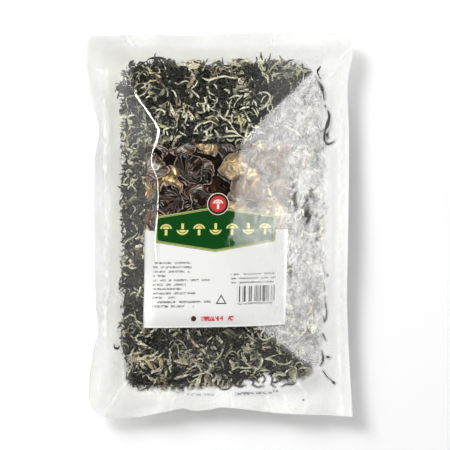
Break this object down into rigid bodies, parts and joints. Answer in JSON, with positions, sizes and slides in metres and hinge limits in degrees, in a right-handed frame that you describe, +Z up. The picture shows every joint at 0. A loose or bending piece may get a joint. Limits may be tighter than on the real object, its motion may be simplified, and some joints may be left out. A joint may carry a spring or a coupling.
{
  "type": "pouch of shredded dried wood ear mushroom",
  "caption": "Sealed clear film pouch lying flat, filled with shredded dried wood ear mushroom, with a printed paper label under the front film.",
  "frame": {"origin": "under the middle of the pouch's outline, on the surface it lies on", "axes": "+Y along the pouch's length towards the top of its label, +X across it to the right of the label, +Z up out of its front"},
  "size_m": [0.264, 0.3852, 0.05],
  "materials": {
    "front_film": "clear glossy plastic film",
    "back_film": "hazy plastic film",
    "label": "coated printed paper",
    "shreds": "dry, dark on one face and pale on the other"
  },
  "bodies": {
    "root": {"front_film": "front_film", "back_film": "back_film", "label": "label", "packed_shreds": "shreds", "loose_shred_01": "shreds", "loose_shred_02": "shreds", "loose_shred_03": "shreds", "loose_shred_04": "shreds", "loose_shred_05": "shreds", "loose_shred_06": "shreds", "loose_shred_07": "shreds", "loose_shred_08": "shreds", "loose_shred_09": "shreds", "loose_shred_10": "shreds"}
  },
  "joints": []
}
